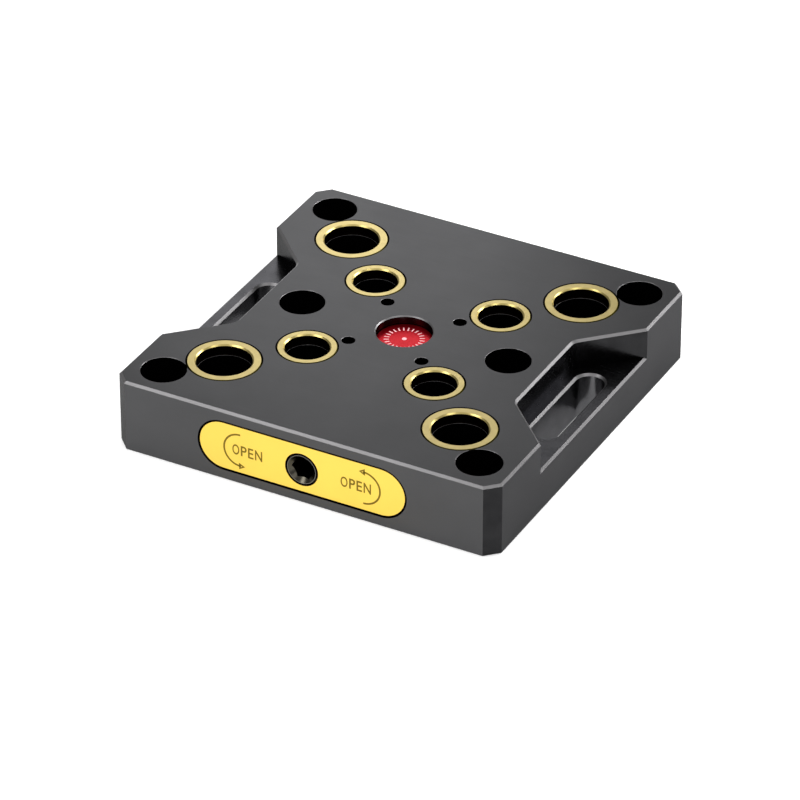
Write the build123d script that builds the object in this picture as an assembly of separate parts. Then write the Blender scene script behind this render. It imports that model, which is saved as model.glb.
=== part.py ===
from build123d import *
import math
import os

# Quick-change zero-point base plate, 155 mm square, for pull studs on 96 mm and 52 mm squares.
# One spindle with opposed threads drives two wedge nuts along Y. Their 45 degree faces push
# four locking bars out along the diagonals, and each bar grips an inner and an outer stud.
# Millimetres, +Z up. The origin is the centre of the ground base, the front with the
# spindle faces -Y, and the two clamping ledges are on the X sides. Drawn open (unclamped).

# Base plate
plate_length = 155.0
plate_width = 155.0
plate_height = 29.0
corner_chamfer = 5.0
top_chamfer = 0.85
base_chamfer = 0.3

# Clamping ledges cut into both X sides
notch_depth = 20.0
notch_back_length = 46.0
notch_drop = 12.0
notch_corner_radius = 4.5
clamp_slot_length = 46.5
clamp_slot_width = 11.0
clamp_slot_inset = 10.8
clamp_slot_chamfer = 0.85

# Stud bores and their hardened rings
outer_pitch = 96.0
outer_bore = 20.6
outer_ring_wall = 3.45
inner_pitch = 52.0
inner_bore = 16.6
inner_ring_wall = 2.9
ring_height = 4.5
ring_lead_in = 0.5
ring_edge_break = 0.4
ring_seat_break = 0.35
ring_fit = 0.01
bore_relief = 0.25
stud_floor_height = 6.0

# Mounting holes for M10 cap screws
corner_inset = 13.5
side_pitch = 85.0
mount_hole = 11.0
mount_head_bore = 17.0
mount_head_depth = 11.0
hole_edge_break = 0.1

# Guide screws, M6 with a dog point, one over each locking bar
guide_pitch = 30.0
guide_hole = 5.1
screw_fit = 0.05
guide_screw_depth = 5.0
guide_shoulder_gap = 1.5
guide_dog_diameter = 3.9
guide_socket = 3.0
guide_socket_depth = 3.5
guide_slot_depth = 3.5

# Red centre cap
cap_diameter = 20.9
cap_recess_fit = 0.05
cap_drop = 3.3
cap_thickness = 1.5
cap_edge_break = 0.3
cap_recess_break = 0.4
access_bore = 17.0

# Spindle
spindle_depth = 15.3
spindle_diameter = 12.0
spindle_fit = 0.05
thread_pitch = 2.0
spindle_turns = 2.0
shank_diameter = 10.0
thread_groove_diameter = 9.5
thread_groove_width = 1.6
thread_run_out = 2.0
head_edge_break = 0.2
hex_socket = 8.0
hex_socket_depth = 10.0
hex_countersink = 11.2
collar_diameter = 18.4
collar_width = 3.0
collar_gap = 0.03
rear_journal_diameter = 10.0
rear_journal_tip_gap = 0.5

# Spindle bearings in the front bore
bearing_bore = 20.0
bearing_fit = 0.01
thrust_washer_thickness = 1.5
front_bush_length = 10.0
seal_width = 2.2
seal_height = 1.4
seal_setback = 1.6
seal_fit = 0.03
ring_clip_thickness = 1.0
ring_clip_groove_depth = 0.45
ring_clip_groove_slack = 0.1
ring_clip_setback = 0.8
ring_clip_width = 2.0
ring_clip_gap = 6.0
ring_clip_lug = 3.4
ring_clip_eye = 1.4
long_bore = 13.4
rear_bush_length = 14.0
rear_bush_offset = 7.0

# Yellow front cover plate
front_pocket_centre_depth = 14.8
front_pocket_length = 84.8
front_pocket_height = 20.8
front_pocket_depth = 3.0
front_cover_gap = 0.35
front_cover_thickness = 2.8
front_cover_edge_break = 0.5
front_cover_hole_gap = 0.6
front_cover_hole_break = 0.1

# Wedge nuts
nut_width = 32.0
nut_centre_gap = 2.0
nut_length = 19.0
nut_boss_width = 15.0
nut_corner = 0.8
wedge_distance = 14.5
wedge_gap = 0.03
pocket_web = 1.6
pocket_gap = 0.4
pocket_corner_radius = 2.0
slide_gap = 0.05

# T-head on the inner end of each locking bar, held in its nut's T-slot
tee_head_depth = 2.25
tee_neck_depth = 2.25
tee_neck_height = 5.0
tee_length = 7.0

# Locking bars
bar_width = 25.0
bar_height = 10.9
bar_spindle_clearance = 2.0
bar_stud_clearance = 0.4
bar_grip_bevel = 1.0
bar_horn_reach = 4.1
bar_horn_radius = 3.0
channel_end_gap = 0.5

# Bottom cover and its M3 countersunk screws
cover_recess = 4.0
cover_inset = 0.1
cover_gap = 0.1
cover_width = 40.0
cover_length = 140.0
cover_end_radius = 6.0
cover_screw_diameter = 3.0
cover_screw_length = 9.0
cover_screw_head = 5.6
cover_screw_hole_gap = 0.2
cover_screw_sink = 0.2
cover_screw_socket = 2.0
cover_screw_socket_depth = 1.0
cover_screw_reach = 59.0
cover_screw_edge = 4.0
tap_depth_spare = 1.5

# Sizes worked out from the ones above
over = 1.0
match = 0.01
half_x = plate_length / 2
half_y = plate_width / 2
ledge_height = plate_height - notch_drop
notch_bottom_x = half_x - notch_depth
notch_mouth_length = notch_back_length + 2 * notch_depth
clamp_slot_x = half_x - clamp_slot_inset
nut_travel = thread_pitch * spindle_turns
bar_travel = nut_travel / math.sqrt(2)
outer_reach = outer_pitch / math.sqrt(2)
inner_reach = inner_pitch / math.sqrt(2)
guide_reach = guide_pitch / math.sqrt(2)
slide_bottom = cover_recess + slide_gap
channel_top = slide_bottom + bar_height + slide_gap
nut_tip = nut_centre_gap / 2 + nut_length
relief_line = spindle_diameter / 2 + bar_spindle_clearance
nose_radius = outer_bore / 2 + bar_stud_clearance
window_radius = inner_bore / 2 + bar_stud_clearance
bar_inner_end = wedge_distance + wedge_gap
bar_outer_end = outer_reach - nose_radius + bar_horn_reach
cap_floor = plate_height - cap_drop - cap_thickness
pocket_ceiling = cap_floor - pocket_web
nut_height = pocket_ceiling - slide_gap - slide_bottom
spindle_height = plate_height - spindle_depth
front_pocket_rise = spindle_depth - front_pocket_centre_depth
front_cover_face = -half_y + front_pocket_depth - front_cover_thickness
pocket_floor_y = -half_y + front_pocket_depth
clip_back_y = pocket_floor_y + ring_clip_setback + ring_clip_thickness + ring_clip_groove_slack
bush_back_y = clip_back_y + front_bush_length
collar_front_y = bush_back_y + thrust_washer_thickness + collar_gap
collar_back_y = collar_front_y + collar_width
bearing_floor_y = collar_back_y + collar_gap + thrust_washer_thickness
seal_start_y = clip_back_y + seal_setback
thread_end_y = nut_tip + nut_travel + thread_run_out
rear_bush_start_y = nut_tip + nut_travel + pocket_gap + rear_bush_offset
rear_bush_end_y = rear_bush_start_y + rear_bush_length
cover_screw_bottom = cover_inset + cover_screw_sink

QUADRANTS = {
    "front_left": (-1, -1),
    "front_right": (1, -1),
    "rear_left": (-1, 1),
    "rear_right": (1, 1),
}

UP = (Align.CENTER, Align.CENTER, Align.MIN)


def upright(x, y, radius, bottom, top):
    """A cylinder along Z between two heights."""
    return Pos(x, y, bottom) * Cylinder(radius, top - bottom, align=UP)


def rim(x, y, radius, size, height):
    """A cone that breaks the edge of a hole whose mouth looks up at the given height."""
    return Pos(x, y, height - size) * Cone(radius, radius + size, size, align=UP)


def square_places(pitch):
    """The four corners of a square hole pattern."""
    return [(sx * pitch / 2, sy * pitch / 2) for sx, sy in QUADRANTS.values()]


def from_spindle_axis(y):
    """A plane across the spindle axis at the given Y, looking to the rear."""
    return Plane(origin=(0, y, spindle_height), x_dir=(1, 0, 0), z_dir=(0, 1, 0))


def front_slot(length, height):
    """The outline of the front pocket or its cover, round the pocket's centre."""
    return Pos(0, -front_pocket_rise) * SlotOverall(length, height)


def turned(radius, start, end):
    """A cylinder on the spindle axis between two Y values."""
    return from_spindle_axis(start) * Cylinder(radius, end - start, align=UP)


def turned_cone(start_radius, end_radius, start, end):
    """A cone on the spindle axis between two Y values."""
    return from_spindle_axis(start) * Cone(start_radius, end_radius, end - start, align=UP)


def cross_prism(half_length, half_width, end_radius, bottom, top):
    """Two rounded bars that cross along the diagonals of the plate."""
    arm = RectangleRounded(2 * half_length, 2 * half_width, end_radius)
    outline = Rot(0, 0, 45) * arm + Rot(0, 0, -45) * arm
    return Pos(0, 0, bottom) * extrude(outline, top - bottom)


def to_quadrant(solid, sx, sy):
    """Mirror a piece drawn in the rear right quadrant into another quadrant."""
    if sx < 0:
        solid = mirror(solid, about=Plane.YZ)
    if sy < 0:
        solid = mirror(solid, about=Plane.XZ)
    return solid


def tee_profile(grow):
    """The T-head's section, with reach along X and height along Y, grown all round."""
    neck_bottom = slide_bottom + (bar_height - tee_neck_height) / 2
    head_inner = wedge_distance - tee_neck_depth - tee_head_depth
    head_outer = wedge_distance - tee_neck_depth
    head = Pos((head_inner + head_outer) / 2, slide_bottom + bar_height / 2) * Rectangle(
        tee_head_depth + 2 * grow, bar_height + 2 * grow
    )
    neck_reach = tee_neck_depth + wedge_gap + tee_head_depth / 2
    neck = Pos(head_outer - tee_head_depth / 2 + neck_reach / 2, neck_bottom + tee_neck_height / 2)
    return head + neck * Rectangle(neck_reach + 2 * grow, tee_neck_height + 2 * grow)


def wedge_nose(half_width, boss, diagonal, tip):
    """The corners round a nut's rear end, from right to left: 45 degree face, boss, 45 degree face."""
    right = [(half_width, diagonal - half_width), (boss, diagonal - boss), (boss, tip)]
    return right + [(-x, y) for x, y in reversed(right)]


def spindle_side(offset):
    """Everything beyond a plane parallel to the spindle, offset from its axis towards +X."""
    block = 2 * plate_length
    return Pos(offset + block / 2, 0, plate_height / 2) * Box(block, block, 4 * plate_height)


def plate_blank():
    """The square plate with its two notched sides, before any hole."""
    outline = Rectangle(plate_length, plate_width)
    outline = chamfer(outline.vertices(), corner_chamfer)
    blank = extrude(outline, plate_height)
    for side in (-1, 1):
        mouth = notch_mouth_length / 2
        back = notch_back_length / 2
        corners = [
            (side * (half_x + over), -mouth - over),
            (side * notch_bottom_x, -back),
            (side * notch_bottom_x, back),
            (side * (half_x + over), mouth + over),
        ]
        notch = Pos(0, 0, ledge_height) * extrude(make_face(Polyline(*corners, close=True)), plate_height)
        inner_edges = notch.edges().filter_by(Axis.Z).filter_by(
            lambda edge: abs(abs(edge.center().X) - notch_bottom_x) < match
        )
        blank -= fillet(inner_edges, notch_corner_radius)
    top_edges = blank.faces().sort_by(Axis.Z)[-1].outer_wire().edges()
    blank = chamfer(top_edges, top_chamfer)
    ledge_edges = blank.edges().filter_by(Axis.Y).filter_by(
        lambda edge: abs(edge.center().Z - ledge_height) < match
        and abs(abs(edge.center().X) - half_x) < match
    )
    blank = chamfer(ledge_edges, top_chamfer)
    return chamfer(blank.faces().sort_by(Axis.Z)[0].outer_wire().edges(), base_chamfer)


def clamp_slots():
    """The slots for clamp bolts through both ledges, with a broad break at the top."""
    cuts = []
    straight = clamp_slot_length - clamp_slot_width
    for side in (-1, 1):
        place = Pos(side * clamp_slot_x, 0, 0) * Rot(0, 0, 90)
        slot = SlotCenterToCenter(straight, clamp_slot_width)
        mouth = SlotCenterToCenter(straight, clamp_slot_width + 2 * clamp_slot_chamfer)
        cuts.append(place * extrude(slot, ledge_height + over))
        lower = Pos(0, 0, ledge_height - clamp_slot_chamfer) * slot
        upper = Pos(0, 0, ledge_height) * mouth
        cuts.append(place * loft([lower, upper]))
    return cuts


def stud_bores():
    """The blind outer bores and the inner bores, each with a seat for its ring."""
    cuts = []
    ring_seat = plate_height - ring_height
    for pitch, bore, wall, floor in (
        (outer_pitch, outer_bore, outer_ring_wall, stud_floor_height),
        (inner_pitch, inner_bore, inner_ring_wall, cover_recess),
    ):
        for x, y in square_places(pitch):
            cuts.append(upright(x, y, bore / 2 + wall + ring_fit, ring_seat, plate_height + over))
            cuts.append(rim(x, y, bore / 2 + wall + ring_fit, ring_seat_break, plate_height))
            cuts.append(upright(x, y, bore / 2 + bore_relief, floor, plate_height))
    return cuts


def mounting_holes():
    """Counterbored holes at the corners and beside the centre, for the M10 cap screws."""
    cuts = []
    seat = plate_height - mount_head_depth
    corner_x = half_x - corner_inset
    corner_y = half_y - corner_inset
    places = [(sx * corner_x, sy * corner_y) for sx, sy in QUADRANTS.values()]
    for x, y in places + [(-side_pitch / 2, 0), (side_pitch / 2, 0)]:
        cuts.append(upright(x, y, mount_hole / 2, -over, plate_height))
        cuts.append(upright(x, y, mount_head_bore / 2, seat, plate_height + over))
        cuts.append(rim(x, y, mount_head_bore / 2, hole_edge_break, plate_height))
    return cuts


def guide_holes():
    """Tapping-size holes down to the channels, for the guide screws."""
    cuts = []
    for x, y in square_places(guide_pitch):
        cuts.append(upright(x, y, guide_hole / 2, cover_recess, plate_height + over))
        cuts.append(rim(x, y, guide_hole / 2, hole_edge_break, plate_height))
    return cuts


def mechanism_space():
    """The crossed channels, the nut pocket and the cover recess, milled from below."""
    channel_end = bar_outer_end + bar_travel + channel_end_gap
    channel_half = bar_width / 2 + slide_gap
    channels = cross_prism(channel_end, channel_half, bar_horn_radius, 0, channel_top)
    recess_end = cover_length / 2 + cover_gap
    recess_half = cover_width / 2 + cover_gap
    recess = cross_prism(recess_end, recess_half, cover_end_radius + cover_gap, -over, cover_recess)
    half_width = nut_width / 2 + pocket_gap
    boss = nut_boss_width / 2 + pocket_gap
    diagonal = (wedge_distance + pocket_gap) * math.sqrt(2) + nut_travel
    rear = wedge_nose(half_width, boss, diagonal, nut_tip + nut_travel + pocket_gap)
    front = [(-x, -y) for x, y in rear]
    pocket = extrude(make_face(Polyline(*rear, *front, close=True)), pocket_ceiling)
    pocket = fillet(pocket.edges().filter_by(Axis.Z), pocket_corner_radius)
    return [channels, recess, pocket]


def centre_recess():
    """The shallow recess for the red cap, and the assembly hole under it."""
    radius = cap_diameter / 2 + cap_recess_fit
    return [
        upright(0, 0, radius, cap_floor, plate_height + over),
        rim(0, 0, radius, cap_recess_break, plate_height),
        upright(0, 0, access_bore / 2, pocket_ceiling - over, plate_height),
    ]


def spindle_bores():
    """The front pocket, the bearing bore with its clip groove, and the long blind bore."""
    pocket = from_spindle_axis(-half_y - over) * extrude(
        front_slot(front_pocket_length, front_pocket_height), front_pocket_depth + over
    )
    groove_start = clip_back_y - ring_clip_thickness - ring_clip_groove_slack
    return [
        pocket,
        turned(bearing_bore / 2, -half_y, bearing_floor_y),
        turned(bearing_bore / 2 + ring_clip_groove_depth, groove_start, clip_back_y),
        turned(long_bore / 2, -half_y, rear_bush_end_y),
    ]


def cover_screw_places():
    """Places of the cover screws, one at the end of each arm, beside its channel."""
    across = cover_width / 2 - cover_screw_edge
    x = (cover_screw_reach - across) / math.sqrt(2)
    y = (cover_screw_reach + across) / math.sqrt(2)
    return [(x, y), (-y, x), (-x, -y), (y, -x)]


def base_plate():
    """The hardened plate with every bore, channel and pocket."""
    plate = plate_blank()
    for cut in clamp_slots() + mechanism_space() + stud_bores() + mounting_holes():
        plate -= cut
    for cut in guide_holes() + centre_recess() + spindle_bores():
        plate -= cut
    tap_top = cover_screw_bottom + cover_screw_length + tap_depth_spare
    for x, y in cover_screw_places():
        plate -= upright(x, y, cover_screw_diameter / 2, 0, tap_top)
    return plate


def stud_ring(x, y, bore, wall):
    """A hardened ring that centres a stud, with a lead-in at its mouth and a broken outer edge."""
    inner = bore / 2
    outer = bore / 2 + wall
    bottom = plate_height - ring_height
    profile = [
        (inner, bottom),
        (outer, bottom),
        (outer, plate_height - ring_edge_break),
        (outer - ring_edge_break, plate_height),
        (inner + ring_lead_in, plate_height),
        (inner, plate_height - ring_lead_in),
    ]
    section = Plane.XZ * make_face(Polyline(*profile, close=True))
    return Pos(x, y, 0) * revolve(section, Axis.Z)


def lock_bar():
    """The rear right locking bar, drawn along X and turned on to its diagonal."""
    length = bar_outer_end - bar_inner_end
    middle = (bar_outer_end + bar_inner_end) / 2
    top = slide_bottom + bar_height
    bar = Pos(middle, 0, slide_bottom) * Box(length, bar_width, bar_height, align=UP)
    horns = bar.edges().filter_by(Axis.Z).group_by(Axis.X)[-1]
    bar = fillet(horns, bar_horn_radius)
    tee = Plane.XZ * tee_profile(0)
    bar += extrude(tee, tee_length)
    for reach, radius in ((inner_reach, window_radius), (outer_reach, nose_radius)):
        bar -= upright(reach, 0, radius, slide_bottom - over, top + over)
        bar -= Pos(reach, 0, slide_bottom) * Cone(radius + bar_grip_bevel, radius, bar_grip_bevel, align=UP)
    slot_width = guide_dog_diameter + 2 * screw_fit
    slot = SlotCenterToCenter(bar_travel, slot_width)
    slot_place = Pos(guide_reach - bar_travel / 2, 0, top - guide_slot_depth)
    bar -= slot_place * extrude(slot, guide_slot_depth + over)
    return (Rot(0, 0, 45) * bar) & spindle_side(relief_line)


def wedge_nut():
    """The rear nut, with a wedge face and a T-slot on each side of the spindle."""
    half_width = nut_width / 2
    start = nut_centre_gap / 2
    nose = wedge_nose(half_width, nut_boss_width / 2, wedge_distance * math.sqrt(2), nut_tip)
    outline = Polyline((half_width, start), *nose, (-half_width, start), close=True)
    nut = Pos(0, 0, slide_bottom) * extrude(make_face(outline), nut_height)
    ends = nut.edges().filter_by(Axis.Z).group_by(Axis.Y)
    nut = chamfer(ends[0] + ends[-1], nut_corner)
    nut -= turned(spindle_diameter / 2 + spindle_fit, 0, nut_tip + over)
    slot = extrude(Plane.XZ * tee_profile(slide_gap), nut_width)
    slot += extrude(Plane.XZ * tee_profile(slide_gap), -nut_width)
    slot = (Rot(0, 0, 45) * slot) & spindle_side(relief_line - slide_gap)
    nut -= slot
    nut -= mirror(slot, about=Plane.YZ)
    return nut


def spindle():
    """The spindle, from its hex socket at the front to its rear journal."""
    radius = spindle_diameter / 2
    shaft = turned(radius, front_cover_face, thread_end_y)
    shaft -= turned(radius + over, collar_back_y + thread_run_out, -thread_end_y)
    shaft += turned(shank_diameter / 2, collar_back_y, -thread_end_y)
    shaft += turned(collar_diameter / 2, collar_front_y, collar_back_y)
    groove = turned(radius + over, -thread_groove_width / 2, thread_groove_width / 2)
    shaft -= groove - turned(thread_groove_diameter / 2, -over, over)
    shaft += turned(rear_journal_diameter / 2, thread_end_y, rear_bush_end_y - rear_journal_tip_gap)
    broken_to = front_cover_face + head_edge_break
    edge = turned(radius + over, front_cover_face, broken_to)
    shaft -= edge - turned_cone(radius - head_edge_break, radius, front_cover_face, broken_to)
    hexagon = RegularPolygon(hex_socket / 2, 6, major_radius=False)
    shaft -= from_spindle_axis(front_cover_face) * extrude(hexagon, hex_socket_depth)
    sink = (hex_countersink - hex_socket) / 2
    return shaft - turned_cone(hex_countersink / 2, hex_socket / 2, front_cover_face, front_cover_face + sink)


def front_bush():
    """The bush that carries the front journal, with a groove for the spindle seal."""
    inner = spindle_diameter / 2 + spindle_fit
    bush = turned(bearing_bore / 2 - bearing_fit, clip_back_y, bush_back_y)
    bush -= turned(inner, clip_back_y, bush_back_y)
    return bush - turned(inner + seal_height, seal_start_y, seal_start_y + seal_width)


def spindle_seal():
    """The rubber ring that keeps coolant out of the bearing."""
    start = seal_start_y + seal_fit
    end = seal_start_y + seal_width - seal_fit
    inner = spindle_diameter / 2 + spindle_fit
    return turned(inner + seal_height - seal_fit, start, end) - turned(inner, start, end)


def thrust_washer(start):
    """A bronze washer on one side of the spindle collar."""
    end = start + thrust_washer_thickness
    inner = spindle_diameter / 2 + spindle_fit
    return turned(bearing_bore / 2 - bearing_fit, start, end) - turned(inner, start, end)


def retaining_ring():
    """The internal clip in front of the bush, open at the bottom, with two eyes."""
    outer = bearing_bore / 2 + ring_clip_groove_depth - bearing_fit
    band = Circle(outer) - Circle(outer - ring_clip_width)
    opening = Pos(0, -outer) * Rectangle(ring_clip_gap, 2 * outer)
    band -= opening
    lug_x = ring_clip_gap / 2 + ring_clip_lug / 2
    lug_y = -math.sqrt((outer - ring_clip_lug / 2) ** 2 - lug_x**2)
    for side in (-1, 1):
        band += Pos(side * lug_x, lug_y) * Circle(ring_clip_lug / 2)
    for side in (-1, 1):
        band -= Pos(side * lug_x, lug_y) * Circle(ring_clip_eye / 2)
    clip = Plane(origin=(0, clip_back_y, spindle_height), x_dir=(1, 0, 0), z_dir=(0, -1, 0))
    return clip * extrude(band, ring_clip_thickness)


def rear_bush():
    """The plain bush that carries the rear journal."""
    bush = turned(long_bore / 2 - bearing_fit, rear_bush_start_y, rear_bush_end_y)
    return bush - turned(rear_journal_diameter / 2 + spindle_fit, rear_bush_start_y, rear_bush_end_y)


def front_cover():
    """The yellow plate round the spindle head."""
    outline = front_slot(
        front_pocket_length - 2 * front_cover_gap, front_pocket_height - 2 * front_cover_gap
    )
    plate = from_spindle_axis(front_cover_face) * extrude(outline, front_cover_thickness)
    plate = chamfer(plate.faces().sort_by(Axis.Y)[0].outer_wire().edges(), front_cover_edge_break)
    hole = spindle_diameter / 2 + front_cover_hole_gap
    plate -= turned(hole, front_cover_face, pocket_floor_y)
    return plate - turned_cone(
        hole + front_cover_hole_break, hole, front_cover_face, front_cover_face + front_cover_hole_break
    )


def centre_cap():
    """The red disc that closes the assembly hole."""
    cap = upright(0, 0, cap_diameter / 2, cap_floor, cap_floor + cap_thickness)
    return chamfer(cap.edges().group_by(Axis.Z)[-1], cap_edge_break)


def bottom_cover():
    """The crossed plate that closes the channels and carries the bars."""
    cover = cross_prism(cover_length / 2, cover_width / 2, cover_end_radius, cover_inset, cover_recess)
    hole = cover_screw_diameter / 2 + cover_screw_hole_gap
    mouth = cover_screw_head / 2 + cover_screw_hole_gap + cover_screw_sink
    for x, y in cover_screw_places():
        cover -= upright(x, y, hole, 0, cover_recess)
        cover -= Pos(x, y, cover_inset) * Cone(mouth, hole, mouth - hole, align=UP)
    return cover


def cover_screw():
    """One countersunk screw at the origin, with its head's face down at height 0."""
    radius = cover_screw_diameter / 2 - screw_fit
    head_radius = cover_screw_head / 2
    screw = upright(0, 0, radius, 0, cover_screw_length)
    screw += Cone(head_radius, radius, head_radius - radius, align=UP)
    socket = RegularPolygon(cover_screw_socket / 2, 6, major_radius=False)
    return screw - extrude(socket, cover_screw_socket_depth)


def bottom_cover_screws():
    """All the cover screws, as a group of separate solids."""
    screw = cover_screw()
    return Compound(children=[Pos(x, y, cover_screw_bottom) * screw for x, y in cover_screw_places()])


def guide_screw(x, y):
    """A set screw whose dog point runs in the slot of a locking bar."""
    top = plate_height - guide_screw_depth
    shoulder = channel_top + guide_shoulder_gap
    tip = slide_bottom + bar_height - guide_slot_depth + slide_gap
    screw = upright(x, y, guide_hole / 2 - screw_fit, shoulder, top)
    screw += upright(x, y, guide_dog_diameter / 2, tip, shoulder)
    socket = extrude(RegularPolygon(guide_socket / 2, 6, major_radius=False), guide_socket_depth)
    return screw - Pos(x, y, top - guide_socket_depth) * socket


def build_nodes():
    """Every node of the plate, by name."""
    nodes = {
        "base_plate": base_plate(),
        "spindle": spindle(),
        "rear_wedge_nut": wedge_nut(),
        "front_wedge_nut": mirror(wedge_nut(), about=Plane.XZ),
        "front_bush": front_bush(),
        "spindle_seal": spindle_seal(),
        "outer_thrust_washer": thrust_washer(bush_back_y),
        "inner_thrust_washer": thrust_washer(collar_back_y + collar_gap),
        "retaining_ring": retaining_ring(),
        "rear_bush": rear_bush(),
        "front_cover": front_cover(),
        "centre_cap": centre_cap(),
        "bottom_cover": bottom_cover(),
        "bottom_cover_screws": bottom_cover_screws(),
    }
    bar = lock_bar()
    for name, (sx, sy) in QUADRANTS.items():
        nodes[f"lock_bar_{name}"] = to_quadrant(bar, sx, sy)
        outer_place = (sx * outer_pitch / 2, sy * outer_pitch / 2)
        inner_place = (sx * inner_pitch / 2, sy * inner_pitch / 2)
        nodes[f"outer_ring_{name}"] = stud_ring(*outer_place, outer_bore, outer_ring_wall)
        nodes[f"inner_ring_{name}"] = stud_ring(*inner_place, inner_bore, inner_ring_wall)
        nodes[f"guide_screw_{name}"] = guide_screw(sx * guide_pitch / 2, sy * guide_pitch / 2)
    return nodes


os.makedirs("parts", exist_ok=True)
for node_name, node_solid in build_nodes().items():
    export_step(node_solid, f"parts/{node_name}.step")
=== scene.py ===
"""Looks for the zero-point clamping plate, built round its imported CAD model.

The plate is black oxidised steel. It carries eight gold coated stud rings, a yellow cover round
the drive spindle and a red centre cap. All lengths are in metres, in the CAD model's own frame,
unless a name ends in _mm or _px.
"""

import logging
import math
from abc import ABC, abstractmethod
from collections.abc import Callable, Sequence
from dataclasses import dataclass
from enum import Enum

import bpy
from mathutils import Matrix, Vector


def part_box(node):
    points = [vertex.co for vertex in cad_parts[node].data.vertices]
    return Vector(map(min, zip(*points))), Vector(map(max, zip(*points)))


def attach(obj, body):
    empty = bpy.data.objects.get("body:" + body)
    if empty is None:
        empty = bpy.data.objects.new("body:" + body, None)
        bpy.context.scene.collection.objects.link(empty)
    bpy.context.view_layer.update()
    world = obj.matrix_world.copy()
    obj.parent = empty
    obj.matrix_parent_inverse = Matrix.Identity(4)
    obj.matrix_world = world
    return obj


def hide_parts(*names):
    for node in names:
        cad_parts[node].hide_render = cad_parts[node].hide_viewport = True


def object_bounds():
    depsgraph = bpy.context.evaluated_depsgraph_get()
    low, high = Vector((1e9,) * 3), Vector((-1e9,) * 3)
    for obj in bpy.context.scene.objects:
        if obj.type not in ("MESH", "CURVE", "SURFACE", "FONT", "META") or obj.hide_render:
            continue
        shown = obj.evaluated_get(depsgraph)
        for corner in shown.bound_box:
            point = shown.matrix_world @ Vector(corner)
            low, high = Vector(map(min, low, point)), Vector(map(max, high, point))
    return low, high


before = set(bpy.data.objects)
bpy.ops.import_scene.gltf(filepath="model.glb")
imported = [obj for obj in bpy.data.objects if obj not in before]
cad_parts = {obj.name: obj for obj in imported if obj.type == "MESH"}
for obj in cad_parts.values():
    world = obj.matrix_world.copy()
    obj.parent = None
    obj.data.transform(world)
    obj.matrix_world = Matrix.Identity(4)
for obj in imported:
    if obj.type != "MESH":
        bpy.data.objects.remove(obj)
CAD_LOW, CAD_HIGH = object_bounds()

log = logging.getLogger("clamping_plate")

MM = 0.001
QUADRANTS = ("front_left", "front_right", "rear_left", "rear_right")

# Points of a mesh that lie closer together than this are one point.
MERGE_DISTANCE = 0.001 * MM
# Edges sharper than this stay sharp.
SMOOTH_ANGLE = math.radians(30.0)
# The places of faces are compared with this much room.
NEAR = 0.1 * MM
# A face lies square to an axis when more than this share of its normal points along it.
SQUARE = 0.99
# A face looks up when more than this share of its normal does.
LOOKS_UP = 0.5

# The sockets of a Mix node that carry colours share their names with others, so they go by number.
MIX_FACTOR = 0
MIX_FIRST_COLOUR = 6
MIX_SECOND_COLOUR = 7
MIX_RESULT = 2


# Small tools for nodes, colours and meshes


def linear(code: str) -> tuple[float, float, float, float]:
    """Turn an sRGB hex colour into linear RGBA.

    Args:
        code: the colour, such as "#5A5A5B".

    Returns:
        Red, green, blue and an alpha of 1.
    """
    parts = [int(code[start:start + 2], 16) / 255 for start in (1, 3, 5)]
    # The sRGB curve is straight near black and a power above.
    red, green, blue = [
        part / 12.92 if part <= 0.04045 else ((part + 0.055) / 1.055) ** 2.4 for part in parts
    ]
    return red, green, blue, 1.0


def add_node(
    tree: bpy.types.NodeTree, kind: str, settings: dict | None = None, sockets: dict | None = None
) -> bpy.types.Node:
    """Add a node with its settings and what its inputs take.

    Args:
        tree: the tree that gets the node.
        kind: the node's type, without the leading "ShaderNode".
        settings: attribute values by name.
        sockets: by input name or number, a plain value or the output that is linked to it.

    Returns:
        The new node.
    """
    node = tree.nodes.new("ShaderNode" + kind)
    for name, value in (settings or {}).items():
        setattr(node, name, value)
    for name, value in (sockets or {}).items():
        if isinstance(value, bpy.types.NodeSocket):
            tree.links.new(value, node.inputs[name])
        else:
            node.inputs[name].default_value = value
    return node


def deselect_all() -> None:
    """Leave no object selected."""
    for obj in bpy.context.selected_objects:
        obj.select_set(False)


def activate(piece: bpy.types.Object) -> None:
    """Make a piece the only selected object, and the active one.

    Args:
        piece: the object.
    """
    deselect_all()
    piece.select_set(True)
    bpy.context.view_layer.objects.active = piece


def merge_and_smooth(piece: bpy.types.Object, recalculate: bool = False) -> None:
    """Merge a mesh's doubled points, and shade its round faces smoothly.

    Args:
        piece: the mesh object.
        recalculate: also turn all faces outwards.
    """
    activate(piece)
    bpy.ops.mesh.customdata_custom_splitnormals_clear()
    bpy.ops.object.mode_set(mode="EDIT")
    bpy.ops.mesh.select_all(action="SELECT")
    bpy.ops.mesh.remove_doubles(threshold=MERGE_DISTANCE)
    if recalculate:
        bpy.ops.mesh.normals_make_consistent(inside=False)
    bpy.ops.object.mode_set(mode="OBJECT")
    bpy.ops.object.shade_smooth_by_angle(angle=SMOOTH_ANGLE)


def settle(piece: bpy.types.Object, place: Matrix) -> None:
    """Put a place into a mesh, and leave its object at the origin, unturned and unscaled."""
    piece.data.transform(place @ piece.matrix_basis)
    piece.matrix_basis = Matrix.Identity(4)


def join(pieces: list[bpy.types.Object], name: str) -> bpy.types.Object:
    """Join several meshes into the first one.

    Args:
        pieces: the objects, each settled in its mesh.
        name: the joined piece's name.

    Returns:
        The joined object.
    """
    activate(pieces[0])
    for piece in pieces[1:]:
        piece.select_set(True)
    bpy.ops.object.join()
    pieces[0].name = name
    return pieces[0]


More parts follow.
